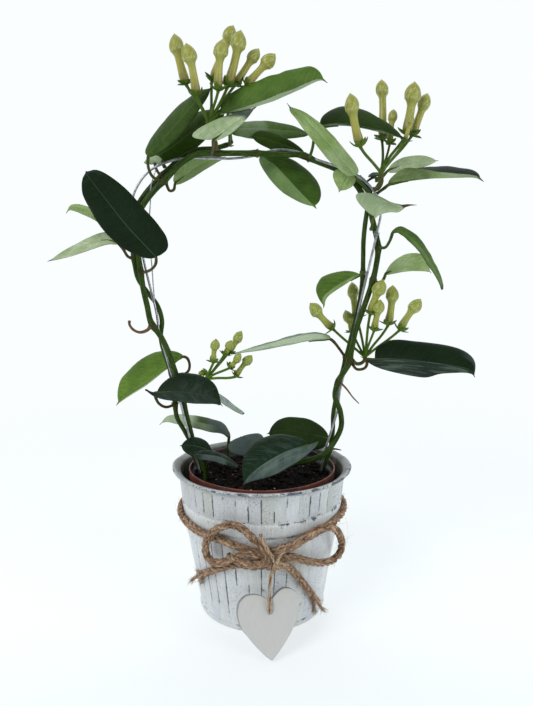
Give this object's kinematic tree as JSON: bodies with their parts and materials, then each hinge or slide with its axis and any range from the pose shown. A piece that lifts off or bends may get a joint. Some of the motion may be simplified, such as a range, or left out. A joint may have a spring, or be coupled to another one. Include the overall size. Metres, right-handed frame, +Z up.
{
  "type": "potted Madagascar jasmine",
  "caption": "Madagascar jasmine vine in bud, trained round a wire hoop, in a growing pot inside a white painted zinc cachepot with a jute bow and a wooden heart tag.",
  "frame": {"origin": "centre of the cachepot's flat underside", "axes": "+Z up along the pot's axis; -Y is the front, with the bow and the heart tag; the wire hoop spans along X"},
  "size_m": [0.3207, 0.1544, 0.4389],
  "materials": {
    "white_painted_zinc": "satin, worn chalk-white paint on zinc sheet, dark metal showing on ribs and rims",
    "terracotta_plastic": "moulded, slightly dusty",
    "potting_soil": "loose dark potting soil with light grains",
    "steel_wire": "grey galvanised wire",
    "green_stem": "smooth green to brownish bark",
    "dry_twig": "dry, matt",
    "flower_buds": "waxy pale yellow-green",
    "leaf_light": "leathery, glossy, paler veins",
    "leaf_mid": "leathery, glossy",
    "leaf_dark": "leathery, glossy, blue-grey sheen",
    "leaf_green": "leathery, glossy",
    "leaf_pale": "underside, pale and satin",
    "jute": "twisted jute fibre",
    "painted_wood": "matt pale grey paint"
  },
  "bodies": {
    "root": {"cachepot": "white_painted_zinc", "growing_pot": "terracotta_plastic", "soil": "potting_soil", "hoop_wire": "steel_wire", "thin_wire": "steel_wire", "basal_shoot_left": "green_stem", "vine_stem_left_front": "green_stem", "vine_stem_left_rear": "green_stem", "vine_stem_right_front": "green_stem", "vine_stem_right_rear": "green_stem", "umbel_left_low": "flower_buds", "umbel_right_mid": "flower_buds", "umbel_top_left": "flower_buds", "umbel_top_right": "flower_buds", "leaf_basal_arching": "leaf_mid", "leaf_basal_front_large": "leaf_dark", "leaf_basal_left_dark": "leaf_dark", "leaf_basal_left_sheen": "leaf_dark", "leaf_basal_rear_green": "leaf_green", "leaf_basal_rear_sheen": "leaf_dark", "leaf_left_large_dark": "leaf_dark", "leaf_left_long_pale": "leaf_pale", "leaf_left_low_dark": "leaf_dark", "leaf_left_low_green": "leaf_light", "leaf_left_low_silver": "leaf_pale", "leaf_left_small_rear": "leaf_pale", "leaf_right_folded_pale": "leaf_pale", "leaf_right_long": "leaf_mid", "leaf_right_low_dark": "leaf_dark", "leaf_right_low_level": "leaf_mid", "leaf_right_mid_left": "leaf_light", "leaf_right_mid_rear": "leaf_pale", "leaf_right_narrow_hanging": "leaf_light", "leaf_right_rear_pale": "leaf_pale", "leaf_right_small_rear": "leaf_pale", "leaf_right_strap": "leaf_pale", "leaf_right_top_dark": "leaf_dark", "leaf_top_front_small": "leaf_pale", "leaf_top_hanging_large": "leaf_mid", "leaf_top_left_lower": "leaf_dark", "leaf_top_left_upper": "leaf_light", "leaf_top_rear_dark": "leaf_dark", "leaf_top_rear_right": "leaf_mid", "leaf_top_right_arching": "leaf_light", "leaf_top_under_left": "leaf_pale", "cut_petiole_hook": "dry_twig", "dry_twig_right": "dry_twig", "dry_leaf_stub": "dry_twig", "jute_rope": "jute", "heart_tag": "painted_wood", "heart_twine": "jute"}
  },
  "joints": []
}
